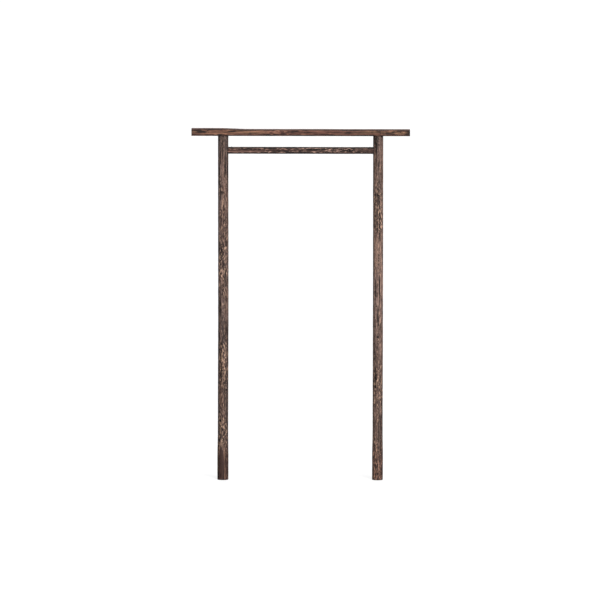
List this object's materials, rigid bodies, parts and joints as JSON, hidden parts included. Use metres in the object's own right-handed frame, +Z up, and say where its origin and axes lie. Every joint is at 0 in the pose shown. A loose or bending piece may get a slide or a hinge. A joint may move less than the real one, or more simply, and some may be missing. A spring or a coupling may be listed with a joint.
{
  "type": "torii-style garden gate",
  "caption": "Open garden gate shaped like a plain torii: round dark cedar log posts under a squared top beam that overhangs them, with a squared tie beam let into the posts just below.",
  "frame": {"origin": "centre of the left post's foot, on its flat underside", "axes": "+Z up along the posts, +X from the left post to the right post seen from the front, +Y to the back"},
  "size_m": [1.488, 0.0752, 2.406],
  "materials": {
    "post_wood": "brushed and stained, satin",
    "beam_wood": "stained, satin",
    "tie_wood": "stained, satin",
    "screw_steel": "zinc plated, matt",
    "washer_steel": "zinc plated, matt",
    "dark_screw": "black coated, satin"
  },
  "bodies": {
    "root": {"left_post": "post_wood", "right_post": "post_wood", "top_beam": "beam_wood", "tie_beam": "tie_wood", "left_beam_screw": "screw_steel", "right_beam_screw": "screw_steel", "left_beam_washer": "washer_steel", "right_beam_washer": "washer_steel", "left_tie_screw": "dark_screw", "right_tie_screw": "dark_screw"}
  },
  "joints": []
}
